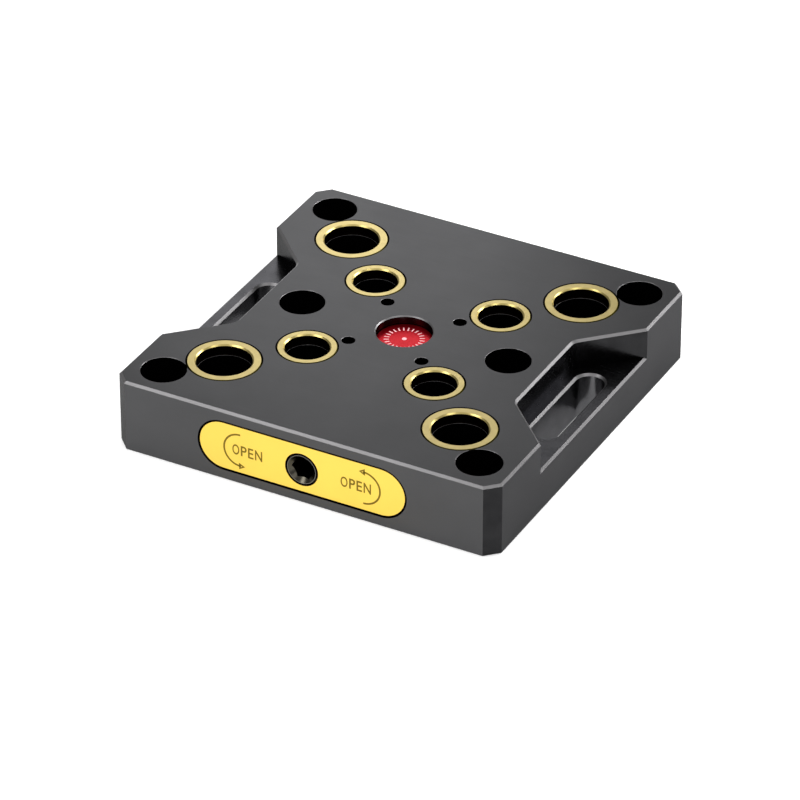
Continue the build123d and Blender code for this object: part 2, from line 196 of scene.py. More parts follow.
def repeat(piece: bpy.types.Object, names: list[str]) -> list[bpy.types.Object]:
    """Copy a piece for each further name, each copy with a mesh of its own.

    Args:
        piece: the first piece, which isn't at its place yet.
        names: the names of all the pieces, starting with the first one's.

    Returns:
        The first piece and its copies.
    """
    piece.name = names[0]
    pieces = [piece]
    for name in names[1:]:
        copy = bpy.data.objects.new(name, piece.data.copy())
        bpy.context.scene.collection.objects.link(copy)
        pieces.append(copy)
    return pieces


def shown_copy(node: str, name: str) -> bpy.types.Object:
    """Make a merged, smooth copy of a CAD node, which then stands for it.

    Args:
        node: the CAD node's name.
        name: the new piece's name.

    Returns:
        The copy, at the node's place, without a finish yet.
    """
    piece = bpy.data.objects.new(name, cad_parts[node].data.copy())
    bpy.context.scene.collection.objects.link(piece)
    merge_and_smooth(piece)
    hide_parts(node)
    return piece


def report(piece: bpy.types.Object, body: str) -> None:
    """Give a piece its body, and log it.

    Args:
        piece: the finished object.
        body: the body that it rides on.
    """
    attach(piece, body)
    log.info("%s rides on %s with %d faces", piece.name, body, len(piece.data.polygons))


# Finishes


class Lay(Enum):
    """The marks that the last tool leaves on a metal surface."""

    GROUND = "straight fine lines along X"
    MILLED = "short broad strokes"
    TURNED_Y = "rings round the spindle's axis"
    TURNED_Z = "rings round an upright axis"
    BORED = "rings down the wall of an upright bore"
    BLASTED = "an even fine grain"


# How a wave texture draws the lays that run round.
WAVES = {
    Lay.TURNED_Y: {"wave_type": "BANDS", "bands_direction": "Y"},
    Lay.TURNED_Z: {"wave_type": "RINGS", "rings_direction": "Z"},
    Lay.BORED: {"wave_type": "BANDS", "bands_direction": "Z"},
}
# One wave of that texture is this many units long at scale 1.
WAVE_LENGTH = 2 * math.pi / 20
# The other lays are noise, whose scale along X is this share of the rest. A small one draws lines.
SHARE_ALONG_X = {Lay.GROUND: 0.02, Lay.MILLED: 0.25, Lay.BLASTED: 1.0}
# Tool marks and grain are this deep, as a share of how far they lie apart.
MARK_DEPTH = 0.1


def millimetres(tree: bpy.types.NodeTree) -> bpy.types.NodeSocket:
    """Add Object coordinates that count millimetres.

    Args:
        tree: the material's tree.

    Returns:
        The output that carries them.
    """
    place = add_node(tree, "TexCoord").outputs["Object"]
    scaled = add_node(tree, "Mapping", {"vector_type": "TEXTURE"}, {"Vector": place, "Scale": (MM, MM, MM)})
    return scaled.outputs["Vector"]


class Finish(ABC):
    """A surface finish that makes its own material."""

    name: str
    colour: str

    def material(self) -> bpy.types.Material:
        """Return the finish's material, made when it is first asked for.

        Returns:
            The material, which all pieces with this finish share.
        """
        found = bpy.data.materials.get(self.name)
        if found is not None:
            return found
        made = bpy.data.materials.new(self.name)
        made.use_nodes = True
        made.node_tree.nodes.clear()
        shader = self.shade(made.node_tree)
        add_node(made.node_tree, "OutputMaterial", sockets={"Surface": shader.outputs[0]})
        return made

    @abstractmethod
    def shade(self, tree: bpy.types.NodeTree) -> bpy.types.Node:
        """Build the finish's nodes in a tree and return its shader."""

    def tinted(self, tree: bpy.types.NodeTree, shade: bpy.types.NodeSocket) -> bpy.types.NodeSocket:
        """Multiply the finish's colour by a shade.

        Args:
            tree: the material's tree.
            shade: the output that carries the shade, about 1.

        Returns:
            The output that carries the colour.
        """
        mixed = add_node(
            tree,
            "Mix",
            {"data_type": "RGBA", "blend_type": "MULTIPLY"},
            {MIX_FACTOR: 1.0, MIX_FIRST_COLOUR: linear(self.colour), MIX_SECOND_COLOUR: shade},
        )
        return mixed.outputs[MIX_RESULT]

    def paint(self, piece: bpy.types.Object) -> None:
        """Make this the piece's only finish."""
        piece.data.materials.clear()
        piece.data.materials.append(self.material())


@dataclass(frozen=True)
class Metal(Finish):
    """A bare, oxidised, coated or anodised metal surface with its tool marks.

    Args:
        name: what the surface is.
        colour: its reflected colour, as sRGB hex.
        roughness: the middle of its roughness.
        lay: which tool marks it carries.
        mark_mm: how far the marks lie apart.
        relief: how strongly the marks tilt the light, from 0 to 1.
        edge_tint: what is left of the bright grazing reflection, as sRGB hex.
        mottle: how far the colour and roughness vary over the surface, as a share.
        cloud_mm: how large the patches are that vary.
    """

    name: str
    colour: str
    roughness: float
    lay: Lay
    mark_mm: float
    relief: float = 0.1
    edge_tint: str = "#FFFFFF"
    mottle: float = 0.06
    cloud_mm: float = 20.0

    def marks(self, tree: bpy.types.NodeTree, place: bpy.types.NodeSocket) -> bpy.types.NodeSocket:
        """Build the height of the tool marks, about 0 to 1.

        Args:
            tree: the material's tree.
            place: coordinates in millimetres.

        Returns:
            The output that carries the height.
        """
        if self.lay in WAVES:
            sockets = {
                "Vector": place,
                "Scale": WAVE_LENGTH / self.mark_mm,
                "Distortion": 1.2,
                "Detail": 2.0,
                "Detail Scale": 1.5,
            }
            return add_node(tree, "TexWave", WAVES[self.lay], sockets).outputs["Fac"]
        stretch = (SHARE_ALONG_X[self.lay], 1.0, 1.0)
        drawn = add_node(tree, "Mapping", sockets={"Vector": place, "Scale": stretch})
        sockets = {
            "Vector": drawn.outputs["Vector"],
            "Scale": 1 / self.mark_mm,
            "Detail": 3.0,
            "Roughness": 0.6,
        }
        return add_node(tree, "TexNoise", sockets=sockets).outputs["Fac"]

    def tone(self, tree: bpy.types.NodeTree, place: bpy.types.NodeSocket) -> bpy.types.NodeSocket:
        """Build the surface's colour, with cloudy patches.

        Args:
            tree: the material's tree.
            place: coordinates in millimetres.

        Returns:
            The output that carries the colour.
        """
        sockets = {"Vector": place, "Scale": 1 / self.cloud_mm, "Detail": 4.0}
        cloud = add_node(tree, "TexNoise", sockets=sockets)
        shade = add_node(
            tree,
            "MapRange",
            sockets={
                "Value": cloud.outputs["Fac"],
                "From Min": 0.3,
                "From Max": 0.7,
                "To Min": 1 - self.mottle,
                "To Max": 1 + self.mottle,
            },
        )
        return self.tinted(tree, shade.outputs[0])

    def shade(self, tree: bpy.types.NodeTree) -> bpy.types.Node:
        """Build the metal: cloudy colour, uneven roughness and relief from the tool marks.

        Args:
            tree: the material's tree.

        Returns:
            The shader.
        """
        place = millimetres(tree)
        marks = self.marks(tree, place)
        rough = add_node(
            tree,
            "MapRange",
            sockets={
                "Value": marks,
                "From Min": 0.2,
                "From Max": 0.8,
                "To Min": self.roughness * (1 - 2 * self.mottle),
                "To Max": self.roughness * (1 + 2 * self.mottle),
            },
        )
        sockets = {"Height": marks, "Strength": self.relief, "Distance": MARK_DEPTH * self.mark_mm * MM}
        relief = add_node(tree, "Bump", sockets=sockets)
        return add_node(
            tree,
            "BsdfPrincipled",
            sockets={
                "Base Color": self.tone(tree, place),
                "Metallic": 1.0,
                "Roughness": rough.outputs[0],
                "Specular Tint": linear(self.edge_tint),
                "Normal": relief.outputs["Normal"],
            },
        )


@dataclass(frozen=True)
class Paste(Finish):
    """A matt paint, ink or rubber that isn't metal.

    Args:
        name: what it is.
        colour: its colour, as sRGB hex.
        roughness: its roughness.
        grain_mm: the size of its grain.
        relief: how strongly the grain tilts the light, from 0 to 1.
        mottle: how far the grain varies the colour, as a share.
        gloss: how much of the usual reflection is left.
    """

    name: str
    colour: str
    roughness: float
    grain_mm: float
    relief: float = 0.1
    mottle: float = 0.12
    gloss: float = 0.2

    def shade(self, tree: bpy.types.NodeTree) -> bpy.types.Node:
        """Build a dull surface whose grain varies the colour a little.

        Args:
            tree: the material's tree.

        Returns:
            The shader.
        """
        sockets = {"Vector": millimetres(tree), "Scale": 1 / self.grain_mm, "Detail": 2.0}
        grain = add_node(tree, "TexNoise", sockets=sockets).outputs["Fac"]
        sockets = {"Value": grain, "To Min": 1 - self.mottle, "To Max": 1 + self.mottle}
        shade = add_node(tree, "MapRange", sockets=sockets)
        sockets = {"Height": grain, "Strength": self.relief, "Distance": MARK_DEPTH * self.grain_mm * MM}
        relief = add_node(tree, "Bump", sockets=sockets)
        return add_node(
            tree,
            "BsdfPrincipled",
            sockets={
                "Base Color": self.tinted(tree, shade.outputs[0]),
                "Roughness": self.roughness,
                "Specular IOR Level": self.gloss,
                "Normal": relief.outputs["Normal"],
            },
        )


# An oxide film swallows grazing light. The finishes that stand for painted shade swallow more of it.
OXIDE_GLARE = "#A9A9A9"
GLARE_UNDER_PAINTED_SHADE = "#606060"

# Grinding, blasting and fine turning leave marks 0.05 to 0.2 mm apart. They are drawn 0.25 to 0.5 mm
# apart so that they show.

# Black oxide on ground steel: a dark grey mirror gone satin.
GROUND_OXIDE = Metal(
    "black_oxide_on_ground_steel", "#505051", 0.34, Lay.GROUND, 0.4, edge_tint=OXIDE_GLARE, mottle=0.04
)
# The same oxide where the cutter's flank ran: dark and shiny, with strokes that show across it. On the
# chamfered corners this dark colour is painted shade.
MILLED_OXIDE_AND_SHADE = Metal(
    "milled_oxide_and_painted_shade", "#29292A", 0.20, Lay.MILLED, 0.9,
    relief=0.30, edge_tint=OXIDE_GLARE, mottle=0.14, cloud_mm=6.0,
)
# The ledges were finished with a fresh cutter, so they mirror what stands over them.
LEDGE_OXIDE = Metal(
    "black_oxide_on_milled_ledges", "#464648", 0.24, Lay.MILLED, 0.7,
    relief=0.30, edge_tint=OXIDE_GLARE, mottle=0.12, cloud_mm=6.0,
)
# In the clamp slots the walls are painted greyer than the oxide elsewhere: painted light, for what comes up
# through the slots from below.
SLOT_PAINTED_LIGHT = Metal(
    "painted_light_on_clamp_slot_walls", "#6C6C6E", 0.22, Lay.MILLED, 0.7,
    relief=0.20, edge_tint=OXIDE_GLARE, mottle=0.12, cloud_mm=6.0,
)
# Drilled and bored walls and the plate's other hollows: the black oxide, darkened to almost black as
# painted shade.
OXIDE_AND_PAINTED_SHADE = Metal(
    "black_oxide_and_painted_shade_in_hollows", "#121213", 0.38, Lay.BORED, 0.5, edge_tint="#505050", mottle=0.08
)
# Edges cut after the oxide bath: bare steel, whose pale colour is also a painted highlight along each
# broken edge.
BARE_EDGE_HIGHLIGHT = Metal("bare_edge_and_painted_highlight", "#757475", 0.42, Lay.BLASTED, 0.3, relief=0.08, mottle=0.05)
# Anodised aluminium, dyed yellow: a clear even satin over fine blasting.
YELLOW_ANODISED = Metal("yellow_anodised_aluminium", "#FAD560", 0.42, Lay.BLASTED, 0.35, mottle=0.03)
# Painted shade on the cover's broken edge, standing for the dark gap round the cover: an olive black line.
COVER_EDGE_SHADE = Metal("painted_shade_on_cover_edge", "#1C1808", 0.5, Lay.BLASTED, 0.35, edge_tint=GLARE_UNDER_PAINTED_SHADE)
# Anodised aluminium, dyed red, with faint turning rings: a deep satin.
RED_ANODISED = Metal("red_anodised_aluminium", "#B2061A", 0.38, Lay.TURNED_Z, 0.3, mottle=0.05)
# Titanium nitride on hardened steel: pale gold with a lemon cast, clouded by handling.
RING_GOLD = Metal(
    "titanium_nitride_on_ring_faces", "#AE9E68", 0.34, Lay.BLASTED, 0.5,
    relief=0.20, mottle=0.07, cloud_mm=2.5,
)
# The same coating on the polished lead-in, which flashes.
LEAD_IN_GOLD = Metal(
    "titanium_nitride_on_lead_ins", "#B8A768", 0.30, Lay.BORED, 0.3, relief=0.05, mottle=0.03
)
# Painted shade in the narrow groove between a ring and the plate: dark olive.
JOINT_SHADOW = Metal("painted_shade_in_ring_joints", "#2C280C", 0.5, Lay.BLASTED, 0.3, edge_tint=GLARE_UNDER_PAINTED_SHADE)
# Inside a ring the wall sees only the dark bore, so it is painted as shade: brown black.
RING_BORE_SHADE = Metal("painted_shade_in_ring_bores", "#24170C", 0.34, Lay.BORED, 0.4, edge_tint=GLARE_UNDER_PAINTED_SHADE)
# Hardened spindle steel, turned and polished: dark, with fine feed lines.
TURNED_STEEL = Metal("turned_hardened_steel", "#6E6C68", 0.26, Lay.TURNED_Y, 0.3, relief=0.12)
# The countersink of the spindle's socket: dark, polished by the key.
SOCKET_CONE = Metal(
    "polished_socket_countersink", "#4A473F", 0.22, Lay.TURNED_Y, 0.3, relief=0.08, edge_tint="#808080"
)
# The socket's walls and the outside of the spindle's head: painted black, as the shade in the socket and in
# the gap round the head.
SOCKET_SHADE = Metal("painted_shade_in_socket_and_head_gap", "#181817", 0.40, Lay.BLASTED, 0.4, edge_tint=GLARE_UNDER_PAINTED_SHADE)
# Hardened and ground tool steel on the parts that slide: bright, with fine lines.
GROUND_STEEL = Metal("ground_hardened_steel", "#8E8C8A", 0.30, Lay.GROUND, 0.3, relief=0.12)
# Milled steel, oiled, with broad cutter strokes.
MILLED_STEEL = Metal("milled_hardened_steel", "#7E7C79", 0.34, Lay.MILLED, 0.6, relief=0.15)
# Black oxide on cold formed screws: nearly black, a little oily.
SCREW_OXIDE = Metal("black_oxide_on_screws", "#3C3C3E", 0.32, Lay.BLASTED, 0.3)
# Phosphated spring steel: matt and dark.
PHOSPHATE = Metal("phosphated_spring_steel", "#47474A", 0.55, Lay.BLASTED, 0.25, relief=0.15)
# Turned tin bronze: warm and dull.
BRONZE = Metal("turned_bronze", "#B8864C", 0.32, Lay.TURNED_Y, 0.25, relief=0.12)
# Nitrile rubber: black and matt.
RUBBER = Paste("nitrile_rubber", "#161616", 0.75, 0.3)
# Dark olive filler in the marks cut into the yellow cover: a dull line.
MARK_FILLER = Paste("olive_filler_in_engraving", "#7C6812", 0.6, 0.2)
# Pale pad print on the red cap: thin and matt.
PALE_PRINT = Paste("pale_pad_print", "#F2B8BC", 0.6, 0.2)


def paint_faces(
    piece: bpy.types.Object,
    finishes: Sequence[Finish],
    finish_of: Callable[[bpy.types.MeshPolygon], Finish],
) -> None:
    """Give each face of a piece its own finish.

    Args:
        piece: the mesh object.
        finishes: every finish that it takes.
        finish_of: tells a face's finish.
    """
    piece.data.materials.clear()
    for finish in finishes:
        piece.data.materials.append(finish.material())
    for face in piece.data.polygons:
        face.material_index = finishes.index(finish_of(face))


# Sub-assemblies


@dataclass
class BasePlate:
    """The oxidised steel plate, with ground faces, milled hollows, painted shade in its bores and painted
    highlights on its bare machined edges.

    Args:
        side: distance of its outer faces from the centre.
        top: height of its top face.
        edge_floor: lowest height at which broken edges are bare and painted with a highlight.
        bevel_least: least upward share of a broken edge's normal.
        bevel_most: largest upward share of it.
        diagonal: least share, along X and along Y, of the normal of a wall that runs diagonally.
        notch_back: distance of the notches' back walls from the centre.
        slot_inner: distance of the clamp slots' inner walls from the centre.
        slot_end: half a clamp slot's length.
        corner_screw: distance of a corner screw's axis from both middle planes.
        counterbore: radius of its counterbore.
        screw_rim: width of the rim round the counterbore.
        ring_rim: width of the rim round a ring's seat.
        cap_recess: radius of the recess round the red cap.
    """

    side: float = CAD_HIGH.x
    top: float = CAD_HIGH.z
    edge_floor: float = 15.9 * MM
    bevel_least: float = 0.55
    bevel_most: float = 0.85
    diagonal: float = 0.25
    notch_back: float = 57.5 * MM
    slot_inner: float = 60.0 * MM
    slot_end: float = 24.2 * MM
    corner_screw: float = 64.0 * MM
    counterbore: float = 8.5 * MM
    screw_rim: float = 0.3 * MM
    ring_rim: float = 0.5 * MM
    cap_recess: float = 11.0 * MM

    def __post_init__(self) -> None:
        """Read the place and the radius of both kinds of rings from the frame."""
        boxes = [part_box(f"{row}_ring_rear_right") for row in ("outer", "inner")]
        self.rings = [((low.x + high.x) / 2, (high.x - low.x) / 2) for low, high in boxes]

    def finish_of(self, face: bpy.types.MeshPolygon) -> Metal:
        """Tell which finish a face has, from its direction and place.

        Args:
            face: the face.

        Returns:
            Its finish.
        """
        normal = face.normal
        x, y, z = abs(face.center.x), abs(face.center.y), face.center.z
        screw_reach = self.counterbore + self.screw_rim
        round_screw = math.hypot(x - self.corner_screw, y - self.corner_screw) < screw_reach
        round_ring = any(
            math.hypot(x - place, y - place) < radius + self.ring_rim for place, radius in self.rings
        )
        round_cap = math.hypot(x, y) < self.cap_recess
        # High broken edges get a painted highlight, and those round the ring seats get painted shade.
        if self.bevel_least < normal.z < self.bevel_most and z > self.edge_floor:
            return OXIDE_AND_PAINTED_SHADE if round_ring else BARE_EDGE_HIGHLIGHT
        outer_side = max(x, y) > self.side - NEAR and max(abs(normal.x), abs(normal.y)) > SQUARE
        top_or_base = abs(normal.z) > SQUARE and (z > self.top - NEAR or z < NEAR)
        if outer_side or top_or_base:
            return GROUND_OXIDE
        # Walls round the screws and rings take the near black painted shade of the bores.
        if round_screw or round_ring:
            return OXIDE_AND_PAINTED_SHADE
        if x > self.notch_back - NEAR:
            in_slot = x > self.slot_inner and y < self.slot_end
            slanted = min(abs(normal.x), abs(normal.y)) > self.diagonal
            # The slot walls are painted greyer, as painted light from below.
            if in_slot and abs(normal.z) < LOOKS_UP:
                return SLOT_PAINTED_LIGHT
            return MILLED_OXIDE_AND_SHADE if slanted and not in_slot else LEDGE_OXIDE
        # Only the plate's chamfered corners lie further out than the corner screws. They and the cap's
        # recess wall take the milled oxide, which is painted shade on the corners. The other hollows take
        # the near black painted shade of the bores.
        chamfered_corner = x + y > 2 * self.corner_screw
        return MILLED_OXIDE_AND_SHADE if round_cap or chamfered_corner else OXIDE_AND_PAINTED_SHADE

    def build(self) -> list[bpy.types.Object]:
        """Copy the CAD plate and give each face its finish.

        Returns:
            The plate.
        """
        plate = shown_copy("base_plate", "oxidised_plate")
        finishes = [GROUND_OXIDE, MILLED_OXIDE_AND_SHADE, LEDGE_OXIDE, SLOT_PAINTED_LIGHT, OXIDE_AND_PAINTED_SHADE, BARE_EDGE_HIGHLIGHT]
        paint_faces(plate, finishes, self.finish_of)
        report(plate, "plate")
        return [plate]


@dataclass
class StudRings:
    """The eight hardened rings that centre the pull studs.

    Args:
        lead_in: width of the bevel at a ring's mouth.
        glint: radius of the thin pale line that is painted as a glint on a ring's lower edge.
        glint_sides: how many sides the line's section has.
        glint_steps: how many steps the line takes round the bore.
    """

    lead_in: float = 1.0 * MM
    glint: float = 0.07 * MM
    glint_sides: int = 8
    glint_steps: int = 96

    def bore_of(self, node: str) -> tuple[Vector, float]:
        """Read a ring's bore from its CAD mesh.

        Args:
            node: the CAD ring's name.

        Returns:
            The middle of the ring's lower end, and the radius of its bore.
        """
        low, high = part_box(node)
        foot = Vector(((low.x + high.x) / 2, (low.y + high.y) / 2, low.z))
        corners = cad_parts[node].data.vertices
        return foot, min((corner.co - foot).xy.length for corner in corners)

    def ring(self, node: str, foot: Vector, bore: float) -> bpy.types.Object:
        """Copy one CAD ring and coat it, from its mouth to the groove round it.

        Args:
            node: the CAD ring's name.
            foot: the middle of its lower end.
            bore: the radius of its bore.

        Returns:
            The coated ring.
        """
        ring = shown_copy(node, f"coated_{node}")

        def finish_of(face: bpy.types.MeshPolygon) -> Metal:
            """Tell which finish a face of the ring has.

            Args:
                face: the face.

            Returns:
                Its finish.
            """
            if face.normal.z > SQUARE:
                return RING_GOLD
            inside = (face.center - foot).xy.length < bore + self.lead_in
            # Faces that look up outside the lead-in are the ring's outer broken edge, painted with the
            # groove's shade.
            if face.normal.z > LOOKS_UP:
                return LEAD_IN_GOLD if inside else JOINT_SHADOW
            # The bore's wall takes painted shade.
            return RING_BORE_SHADE

        paint_faces(ring, [RING_GOLD, LEAD_IN_GOLD, JOINT_SHADOW, RING_BORE_SHADE], finish_of)
        report(ring, "plate")
        return ring

    def lower_edge(self, bore: float) -> bpy.types.Object:
        """Spin the thin pale line of a painted glint on a bore's lower edge round the Z axis.

        Args:
            bore: the radius of the bore.

        Returns:
            The line, closed all round, lying on the XY plane.
        """
        deselect_all()
        bpy.ops.mesh.primitive_circle_add(vertices=self.glint_sides, radius=self.glint)
        line = bpy.context.object
        upright = Matrix.Rotation(math.pi / 2, 4, "X")
        settle(line, Matrix.Translation((bore, 0, self.glint)) @ upright)
        bpy.ops.object.mode_set(mode="EDIT")
        bpy.ops.mesh.select_all(action="SELECT")
        bpy.ops.mesh.spin(steps=self.glint_steps, angle=2 * math.pi, center=(0, 0, 0), axis=(0, 0, 1))
        bpy.ops.object.mode_set(mode="OBJECT")
        merge_and_smooth(line, recalculate=True)
        BARE_EDGE_HIGHLIGHT.paint(line)
        return line

    def build(self) -> list[bpy.types.Object]:
        """Make the four outer and the four inner rings, and the painted glint on each one's lower edge.

        Returns:
            The rings and their painted glints.
        """
        pieces = []
        for row in ("outer", "inner"):
            nodes = [f"{row}_ring_{corner}" for corner in QUADRANTS]
            bores = [self.bore_of(node) for node in nodes]
            lines = repeat(self.lower_edge(bores[0][1]), [f"lower_edge_of_{node}" for node in nodes])
            for node, (foot, bore), line in zip(nodes, bores, lines):
                settle(line, Matrix.Translation(foot))
                report(line, "plate")
                pieces += [self.ring(node, foot, bore), line]
        return pieces


class Side(Enum):
    """The side of the spindle that a word and its arrow stand on, and its sign along X."""

    LEFT = -1
    RIGHT = 1


@dataclass
class FrontCover:
    """The yellow cover with its two OPEN marks and turning arrows.

    Args:
        arrow_offset: distance of each arrow's centre from the spindle axis.
        arrow_radius: radius of the arrow's arc.
        arrow_drop: how far the arrows' centres lie under the cover's middle.
        stroke: width of the arc's line.
        proud: how far the filler stands out of the cover.
        text_offset: distance of each word's middle from the spindle axis.
        text_drop: how far the words lie under the cover's middle.
        text_height: height of the capitals.
        text_weight: how much their strokes are thickened, as a share of the font's size.
        text_depth: their depth before it is fitted, as a share of the font's size.
        letters: each capital with its start, counted from the word's middle, and its width.
        head_length: length of the arrow's head.
        head_stroke: width of the head's line.
        arc_start: where the left arrow's arc starts, in degrees from +X.
        arc_sweep: how far it runs, in degrees.
        arc_steps: how many steps it takes.
    """

    arrow_offset: float = 25.0 * MM
    arrow_radius: float = 6.6 * MM
    arrow_drop: float = 0.25 * MM
    stroke: float = 0.7 * MM
    proud: float = 0.04 * MM
    text_offset: float = 22.0 * MM
    text_drop: float = 0.2 * MM
    text_height: float = 4.3 * MM
    text_weight: float = 0.012
    text_depth: float = 0.02
    letters: tuple[tuple[str, float, float], ...] = (
        ("O", -6.2 * MM, 2.8 * MM),
        ("P", -2.75 * MM, 2.4 * MM),
        ("E", 0.2 * MM, 2.2 * MM),
        ("N", 3.05 * MM, 2.95 * MM),
    )
    head_length: float = 2.4 * MM
    head_stroke: float = 0.5 * MM
    arc_start: float = 89.0
    arc_sweep: float = 183.0
    arc_steps: int = 36

    def __post_init__(self) -> None:
        """Read the cover's front face and its middle height from the frame."""
        low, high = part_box("front_cover")
        self.face_y = low.y
        self.middle_z = (low.z + high.z) / 2

    def upright_place(self, x: float) -> Matrix:
        """Turn a mark drawn flat, facing up, on to the cover's face, at a distance along X."""
        return Matrix.Translation((x, self.face_y, self.middle_z)) @ Matrix.Rotation(math.pi / 2, 4, "X")

    def capital(self, letter: str, left: float, width: float) -> bpy.types.Object:
        """Model one letter of filler, fitted to its own width.

        Args:
            letter: the capital.
            left: where it starts, counted from the word's middle.
            width: its width.

        Returns:
            The letter, lying flat at its place in the word.
        """
        deselect_all()
        bpy.ops.object.text_add()
        text = bpy.context.object
        text.data.body = letter
        text.data.size = 1.0
        text.data.offset = self.text_weight
        text.data.extrude = self.text_depth
        bpy.ops.object.convert(target="MESH")
        corners = [Vector(corner) for corner in text.bound_box]
        low = Vector(map(min, *corners))
        high = Vector(map(max, *corners))
        size = high - low
        fit = Matrix.Diagonal((width / size.x, self.text_height / size.y, 2 * self.proud / size.z, 1.0))
        place = Matrix.Translation((left + width / 2, -self.text_drop, 0))
        settle(text, place @ fit @ Matrix.Translation(-(low + high) / 2))
        return text

    def word(self) -> bpy.types.Object:
        """Join the four capitals.

        Returns:
            The word OPEN, lying flat with its middle at the origin.
        """
        word = join([self.capital(*letter) for letter in self.letters], "open_mark")
        merge_and_smooth(word, recalculate=True)
        return word

    def arc(self) -> bpy.types.Object:
        """Spin a small upright rectangle round the arrow's centre.

        Returns:
            The left arrow's line, lying flat round the origin.
        """
        deselect_all()
        bpy.ops.mesh.primitive_plane_add(size=1.0)
        line = bpy.context.object
        first = math.radians(self.arc_start)
        section = Matrix.Rotation(first, 4, "Z") @ Matrix.Translation((self.arrow_radius, 0, 0))
        section = section @ Matrix.Rotation(math.pi / 2, 4, "X")
        settle(line, section @ Matrix.Diagonal((self.stroke, 2 * self.proud, 1.0, 1.0)))
        sweep = math.radians(self.arc_sweep)
        bpy.ops.object.mode_set(mode="EDIT")
        bpy.ops.mesh.select_all(action="SELECT")
        bpy.ops.mesh.spin(steps=self.arc_steps, angle=sweep, center=(0, 0, 0), axis=(0, 0, -1))
        bpy.ops.object.mode_set(mode="OBJECT")
        return line

    def head(self) -> bpy.types.Object:
        """Inset a triangle, open its middle and raise it, with its tip along the arc's end.

        Returns:
            The left arrow's head, lying flat.
        """
        deselect_all()
        # A triangle is one and a half times as long as the radius of the circle round it.
        radius = self.head_length / 1.5
        bpy.ops.mesh.primitive_circle_add(vertices=3, radius=radius, fill_type="NGON")
        head = bpy.context.object
        bpy.ops.object.mode_set(mode="EDIT")
        bpy.ops.mesh.select_all(action="SELECT")
        bpy.ops.mesh.inset(thickness=self.head_stroke)
        bpy.ops.mesh.delete(type="FACE")
        bpy.ops.mesh.select_all(action="SELECT")
        bpy.ops.mesh.extrude_region_move(TRANSFORM_OT_translate={"value": (0, 0, 2 * self.proud)})
        bpy.ops.object.mode_set(mode="OBJECT")
        last = math.radians(self.arc_start + self.arc_sweep)
        end = Vector((math.cos(last), math.sin(last), 0)) * self.arrow_radius
        # A three point circle has a corner on +Y. The tip is turned on to the arc's direction.
        along = Matrix.Rotation(last, 4, "Z")
        settle(head, Matrix.Translation(end) @ along @ Matrix.Translation((0, 0, -self.proud)))
        return head

    def arrow(self) -> bpy.types.Object:
        """Join the arc and its head.

        Returns:
            The left turning arrow, lying flat round the origin.
        """
        shape = join([self.arc(), self.head()], "turning_arrow")
        merge_and_smooth(shape, recalculate=True)
        return shape

    def build(self) -> list[bpy.types.Object]:
        """Dress the cover, and set its words and arrows.

        Returns:
            The cover and its four marks.
        """
        cover = shown_copy("front_cover", "anodised_front_cover")
        # The cover's broken edge is painted olive black, as the shade of the gap round it.
        paint_faces(
            cover,
            [YELLOW_ANODISED, COVER_EDGE_SHADE],
            lambda face: YELLOW_ANODISED if abs(face.normal.y) > SQUARE else COVER_EDGE_SHADE,
        )
        report(cover, "plate")
        pieces = [cover]
        words = repeat(self.word(), [f"open_mark_{side.name.lower()}" for side in Side])
        arrows = repeat(self.arrow(), [f"turning_arrow_{side.name.lower()}" for side in Side])
        drop = Matrix.Translation((0, -self.arrow_drop, 0))
        for side, word, arrow in zip(Side, words, arrows):
            # The right arrow is the left one turned half round.
            turned = Matrix.Rotation(0 if side is Side.LEFT else math.pi, 4, "Z")
            settle(word, self.upright_place(side.value * self.text_offset))
            settle(arrow, self.upright_place(side.value * self.arrow_offset) @ drop @ turned)
            for mark in (word, arrow):
                MARK_FILLER.paint(mark)
                report(mark, "plate")
                pieces.append(mark)
        return pieces


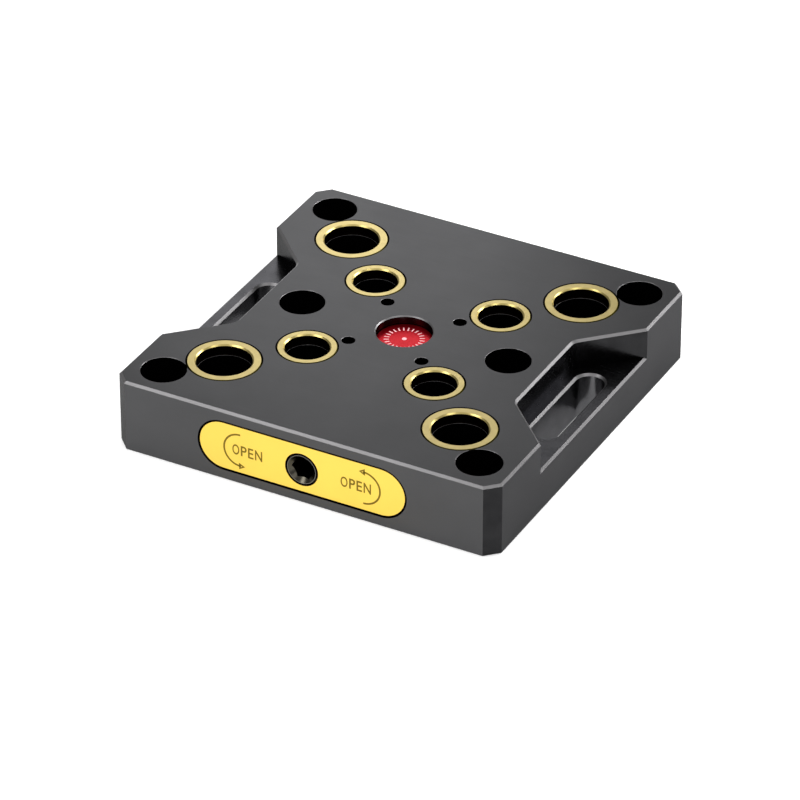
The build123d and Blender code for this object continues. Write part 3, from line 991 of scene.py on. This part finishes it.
@dataclass
class CentreCap:
    """The red cap in the middle of the top face, with a plain ring of tick marks.

    Args:
        ticks: how many marks stand round the cap.
        tick_radius: distance of their middles from the centre.
        tick_length: length of a mark along the radius.
        tick_width: width of a mark.
        dot_radius: radius of the dot in the middle.
        dot_sides: how many sides the dot has.
        proud: how far the print stands out of the cap.
        rounding: how far its edges are rounded, where its thickness allows it.
    """

    ticks: int = 24
    tick_radius: float = 6.6 * MM
    tick_length: float = 1.9 * MM
    tick_width: float = 0.5 * MM
    dot_radius: float = 0.9 * MM
    dot_sides: int = 32
    proud: float = 0.03 * MM
    rounding: float = 0.15 * MM

    def __post_init__(self) -> None:
        """Read the height of the cap's face from the frame."""
        self.face_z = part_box("centre_cap")[1].z

    def soften(self, mark: bpy.types.Object) -> None:
        """Round a printed mark's edges.

        Args:
            mark: the mark, with its sharp edges.
        """
        activate(mark)
        bevel = mark.modifiers.new("rounded_edges", "BEVEL")
        bevel.width = self.rounding
        bevel.segments = 2
        bevel.limit_method = "ANGLE"
        bpy.ops.object.modifier_apply(modifier=bevel.name)

    def tick(self) -> bpy.types.Object:
        """Model one mark.

        Returns:
            The mark that stands on +X.
        """
        deselect_all()
        bpy.ops.mesh.primitive_cube_add(size=1.0)
        mark = bpy.context.object
        size = Matrix.Diagonal((self.tick_length, self.tick_width, 2 * self.proud, 1.0))
        settle(mark, Matrix.Translation((self.tick_radius, 0, self.face_z)) @ size)
        self.soften(mark)
        return mark

    def dot(self) -> bpy.types.Object:
        """Model the dot.

        Returns:
            The dot, in the cap's middle.
        """
        deselect_all()
        bpy.ops.mesh.primitive_cylinder_add(
            vertices=self.dot_sides, radius=self.dot_radius, depth=2 * self.proud
        )
        dot = bpy.context.object
        settle(dot, Matrix.Translation((0, 0, self.face_z)))
        self.soften(dot)
        return dot

    def build(self) -> list[bpy.types.Object]:
        """Dress the cap and print its marks.

        Returns:
            The cap and its print.
        """
        cap = shown_copy("centre_cap", "anodised_centre_cap")
        RED_ANODISED.paint(cap)
        report(cap, "plate")
        marks = repeat(self.tick(), [f"tick_{index}" for index in range(self.ticks)])
        for index, mark in enumerate(marks):
            settle(mark, Matrix.Rotation(2 * math.pi * index / self.ticks, 4, "Z"))
        print_marks = join([*marks, self.dot()], "tick_marks_on_cap")
        merge_and_smooth(print_marks)
        PALE_PRINT.paint(print_marks)
        report(print_marks, "plate")
        return [cap, print_marks]


@dataclass
class Spindle:
    """The drive spindle, whose head with its hex socket shows in the yellow cover.

    Args:
        edge: smallest radius of the broken edge round the head.
        face: smallest radius of the flat rim inside that edge.
        socket_depth: how far the socket reaches in.
        cone_least: least share, along the axis, of the normal of the socket's countersink.
        cone_most: largest share of it.
    """

    edge: float = 5.78 * MM
    face: float = 5.5 * MM
    socket_depth: float = 10.2 * MM
    cone_least: float = 0.2
    cone_most: float = 0.9

    def __post_init__(self) -> None:
        """Read the spindle's axis and its front end from the frame."""
        low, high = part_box("spindle")
        self.front_y = low.y
        self.axis_z = (low.z + high.z) / 2

    def finish_of(self, face: bpy.types.MeshPolygon) -> Metal:
        """Tell which finish a face has, from its place on the head.

        Args:
            face: the face.

        Returns:
            Its finish.
        """
        away = math.hypot(face.center.x, face.center.z - self.axis_z)
        socket_end = self.front_y + self.socket_depth
        # The head's broken edge and outside, and the socket's walls, are painted black as shade.
        if away > self.face or face.center.y > socket_end:
            return SOCKET_SHADE if away > self.edge and face.center.y < socket_end else TURNED_STEEL
        return SOCKET_CONE if self.cone_least < -face.normal.y < self.cone_most else SOCKET_SHADE

    def build(self) -> list[bpy.types.Object]:
        """Copy the CAD spindle and dress its head.

        Returns:
            The spindle.
        """
        spindle = shown_copy("spindle", "turned_spindle")
        paint_faces(spindle, [TURNED_STEEL, SOCKET_CONE, SOCKET_SHADE], self.finish_of)
        report(spindle, "spindle")
        return [spindle]


@dataclass
class Mechanism:
    """Everything else in the plate and under it: what slides, the bearings, the cover below, the screws.

    Args:
        single: each piece that is there once, with its body, finish and material slot.
    """

    single: tuple[tuple[str, str, Finish, str], ...] = (
        ("front_wedge_nut", "front_nut", MILLED_STEEL, "nut_steel"),
        ("rear_wedge_nut", "rear_nut", MILLED_STEEL, "nut_steel"),
        ("front_bush", "plate", BRONZE, "bronze"),
        ("rear_bush", "plate", BRONZE, "bronze"),
        ("outer_thrust_washer", "plate", BRONZE, "bronze"),
        ("inner_thrust_washer", "plate", BRONZE, "bronze"),
        ("spindle_seal", "plate", RUBBER, "seal_rubber"),
        ("retaining_ring", "plate", PHOSPHATE, "spring_steel"),
        ("bottom_cover_screws", "plate", SCREW_OXIDE, "screw_steel"),
    )

    def bottom_cover(self) -> bpy.types.Object:
        """Dress the bottom cover, whose upper side is painted as dark as the shade in the bores that it
        closes.

        Returns:
            The cover.
        """
        cover = shown_copy("bottom_cover", "oxidised_bottom_cover")
        paint_faces(
            cover,
            [GROUND_OXIDE, OXIDE_AND_PAINTED_SHADE],
            lambda face: OXIDE_AND_PAINTED_SHADE if face.normal.z > LOOKS_UP else GROUND_OXIDE,
        )
        report(cover, "plate")
        return cover

    def build(self) -> list[bpy.types.Object]:
        """Dress each hidden piece by what it is made of.

        Returns:
            The dressed pieces.
        """
        pieces = [self.bottom_cover()]
        rows = list(self.single)
        for corner in QUADRANTS:
            rows.append((f"lock_bar_{corner}", f"{corner}_bar", GROUND_STEEL, "bar_steel"))
            rows.append((f"guide_screw_{corner}", "plate", SCREW_OXIDE, "screw_steel"))
        for node, body, finish, slot in rows:
            piece = shown_copy(node, f"finished_{node}")
            finish.paint(piece)
            report(piece, body)
            pieces.append(piece)
        return pieces


# The studio


@dataclass(frozen=True)
class StudioLight:
    """One soft light.

    Args:
        name: the light's name.
        place: where it hangs, in metres.
        size: the length of its square side.
        power: its power in watts.
    """

    name: str
    place: tuple[float, float, float]
    size: float
    power: float

    def hang(self) -> None:
        """Hang the light so that it faces the plate."""
        data = bpy.data.lights.new(self.name, "AREA")
        data.size = self.size
        data.energy = self.power
        light = bpy.data.objects.new(self.name, data)
        light.location = self.place
        light.rotation_euler = Vector(self.place).to_track_quat("Z", "Y").to_euler()
        bpy.context.scene.collection.objects.link(light)


@dataclass
class Studio:
    """A pale floor under soft white light, and the camera at the photo's viewing angle.

    Args:
        azimuth: degrees the camera stands to the right of the front.
        elevation: degrees it looks down.
        distance: from the plate's top face to the camera.
        slide: how far it is moved right and up, to frame the plate as the photo does.
        image_px: width of the image.
        focal_px: focal length, in pixels of that image.
        sensor_mm: width of the sensor.
        haze: brightness of the pale backdrop at the height of the plate.
        wall: brightness of the surroundings above the backdrop.
        zenith: how much brighter they are straight above the plate.
        zenith_power: how narrow that brighter part is.
        backdrop: how high the backdrop reaches, as the sine of its elevation.
        floor_half: half the floor's width.
        floor_drop: how far the floor lies under the plate.
        floor_white: how much light the floor gives back.
        glow: how much light comes up through the floor.
        lights: the soft lights. Each one is mirrored by some of the plate's faces or bevels.
    """

    azimuth: float = 28.18
    elevation: float = 32.821
    distance: float = 1901.079 * MM
    slide: tuple[float, float] = (-1.59 * MM, -25.06 * MM)
    image_px: int = 800
    focal_px: float = 5223.943
    sensor_mm: float = 36.0
    haze: float = 0.9
    wall: float = 0.20
    zenith: float = 0.9
    zenith_power: float = 4.0
    backdrop: float = 0.28
    floor_half: float = 3.0
    floor_drop: float = 0.05 * MM
    floor_white: float = 0.8
    glow: float = 0.42
    lights: tuple[StudioLight, ...] = (
        StudioLight("key_overhead", (0.0, 0.0, 1.6), 1.2, 6.0),
        StudioLight("strip_rear_left", (-0.29, 0.48, 0.305), 0.23, 0.45),
        StudioLight("fill_front_left", (-0.25, -0.34, 0.46), 0.24, 0.95),
        StudioLight("fill_rear_right", (0.17, 0.25, 0.215), 0.14, 0.85),
        StudioLight("strip_front_right", (0.29, -0.48, 0.305), 0.23, 0.25),
        StudioLight("fill_right", (0.305, -0.116, 0.442), 0.14, 0.30),
    )

    def light_world(self) -> None:
        """Surround the plate with a pale low backdrop, dim walls and a soft bright ceiling."""
        world = bpy.data.worlds.new("white_studio")
        bpy.context.scene.world = world
        world.use_nodes = True
        tree = world.node_tree
        tree.nodes.clear()
        direction = add_node(tree, "TexCoord").outputs["Generated"]
        height = add_node(tree, "SeparateXYZ", sockets={0: direction}).outputs["Z"]
        low = add_node(
            tree,
            "MapRange",
            {"interpolation_type": "SMOOTHSTEP"},
            {"Value": height, "From Max": self.backdrop, "To Min": self.haze, "To Max": self.wall},
        )
        above = add_node(tree, "Math", {"operation": "MAXIMUM"}, {0: height, 1: 0.0})
        steep = add_node(tree, "Math", {"operation": "POWER"}, {0: above.outputs[0], 1: self.zenith_power})
        strength = add_node(
            tree,
            "Math",
            {"operation": "MULTIPLY_ADD"},
            {0: steep.outputs[0], 1: self.zenith, 2: low.outputs["Result"]},
        )
        sockets = {"Color": (1.0, 1.0, 1.0, 1.0), "Strength": strength.outputs[0]}
        white = add_node(tree, "Background", sockets=sockets)
        add_node(tree, "OutputWorld", sockets={"Surface": white.outputs[0]})

    def lay_floor(self) -> None:
        """Lay a matt white floor that is lit a little from below."""
        deselect_all()
        bpy.ops.mesh.primitive_plane_add(size=2 * self.floor_half, location=(0, 0, -self.floor_drop))
        floor = bpy.context.object
        floor.name = "pale_floor"
        paint = bpy.data.materials.new("matt_white_studio_floor")
        paint.use_nodes = True
        tree = paint.node_tree
        tree.nodes.clear()
        white = (self.floor_white, self.floor_white, self.floor_white, 1.0)
        matt = add_node(tree, "BsdfDiffuse", sockets={"Color": white})
        glow = add_node(tree, "Emission", sockets={"Strength": self.glow})
        both = add_node(tree, "AddShader", sockets={0: matt.outputs[0], 1: glow.outputs[0]})
        add_node(tree, "OutputMaterial", sockets={"Surface": both.outputs[0]})
        floor.data.materials.append(paint)

    def stand_camera(self) -> None:
        """Stand the camera where the photo was taken from."""
        turn, rise = math.radians(self.azimuth), math.radians(self.elevation)
        back = Vector((math.sin(turn) * math.cos(rise), -math.cos(turn) * math.cos(rise), math.sin(rise)))
        right = Vector((math.cos(turn), math.sin(turn), 0))
        up = back.cross(right)
        top = Vector((0, 0, CAD_HIGH.z))
        eye = right * self.slide[0] + up * self.slide[1] + back * self.distance + top
        data = bpy.data.cameras.new("studio_camera")
        data.sensor_width = self.sensor_mm
        data.lens = self.focal_px / self.image_px * self.sensor_mm
        camera = bpy.data.objects.new("studio_camera", data)
        camera.matrix_world = Matrix.Translation(eye) @ Matrix((right, up, back)).transposed().to_4x4()
        bpy.context.scene.collection.objects.link(camera)
        bpy.context.scene.camera = camera

    def build(self) -> None:
        """Set the studio up."""
        bpy.context.scene.view_settings.view_transform = "Standard"
        self.light_world()
        self.lay_floor()
        self.stand_camera()
        for light in self.lights:
            light.hang()


def main() -> None:
    """Build the studio and every sub-assembly, in order."""
    logging.basicConfig(level=logging.INFO, format="%(name)s: %(message)s")
    Studio().build()
    for assembly in (BasePlate(), StudRings(), FrontCover(), CentreCap(), Spindle(), Mechanism()):
        pieces = assembly.build()
        log.info("%s is done, with %d pieces", type(assembly).__name__, len(pieces))


if __name__ == "__main__":
    main()
